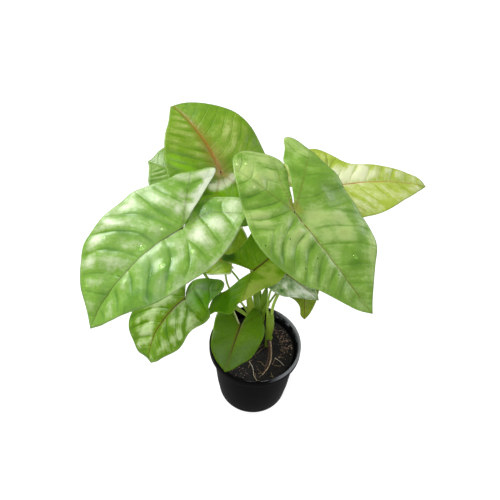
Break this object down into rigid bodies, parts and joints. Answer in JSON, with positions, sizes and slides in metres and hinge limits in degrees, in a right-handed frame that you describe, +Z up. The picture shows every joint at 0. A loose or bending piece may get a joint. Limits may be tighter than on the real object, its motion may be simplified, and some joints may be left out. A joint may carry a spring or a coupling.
{
  "type": "arrowhead plant in a nursery pot",
  "caption": "Young arrowhead plant (Syngonium) with folded, drooping arrowhead leaves on thin petioles, rooted in soil in a round black plastic nursery pot.",
  "frame": {"origin": "middle of the pot's underside, on the surface it stands on", "axes": "+Z up, -Y towards the front, from which most leaves are seen from above"},
  "size_m": [0.3098, 0.209, 0.2484],
  "materials": {
    "pot_plastic": "black moulded polypropylene, glossy on the rim band",
    "potting_soil": "damp dark bark and peat mix",
    "sheath": "smooth yellow-green petiole sheaths",
    "dry_stem": "dry brown stem",
    "pale_root": "thin pale roots",
    "leaf_silver": "waxy pale silvery green leaf",
    "leaf_green": "waxy green leaf with pink-brown midrib",
    "leaf_lime": "waxy pale yellow-green leaf with pink midrib",
    "leaf_olive": "waxy olive green leaf with brown midrib",
    "petiole": "smooth green stalk"
  },
  "bodies": {
    "root": {"pot": "pot_plastic", "soil": "potting_soil", "crown_left": "sheath", "crown_right": "sheath", "crown_back": "sheath", "old_stem": "dry_stem", "root_front": "pale_root", "root_right": "pale_root", "blade_front_left": "leaf_silver", "blade_front_right": "leaf_green", "blade_back_left": "leaf_green", "blade_right": "leaf_lime", "blade_left": "leaf_silver", "blade_low_left": "leaf_olive", "blade_low_front": "leaf_green", "blade_middle": "leaf_green", "blade_inner_right": "leaf_silver", "blade_inner_left": "leaf_olive", "blade_low_right": "leaf_olive", "petiole_front_left": "petiole", "petiole_front_right": "petiole", "petiole_back_left": "petiole", "petiole_right": "petiole", "petiole_left": "petiole", "petiole_low_left": "petiole", "petiole_low_front": "petiole", "petiole_middle": "petiole", "petiole_inner_right": "petiole", "petiole_inner_left": "petiole", "petiole_low_right": "petiole"}
  },
  "joints": []
}
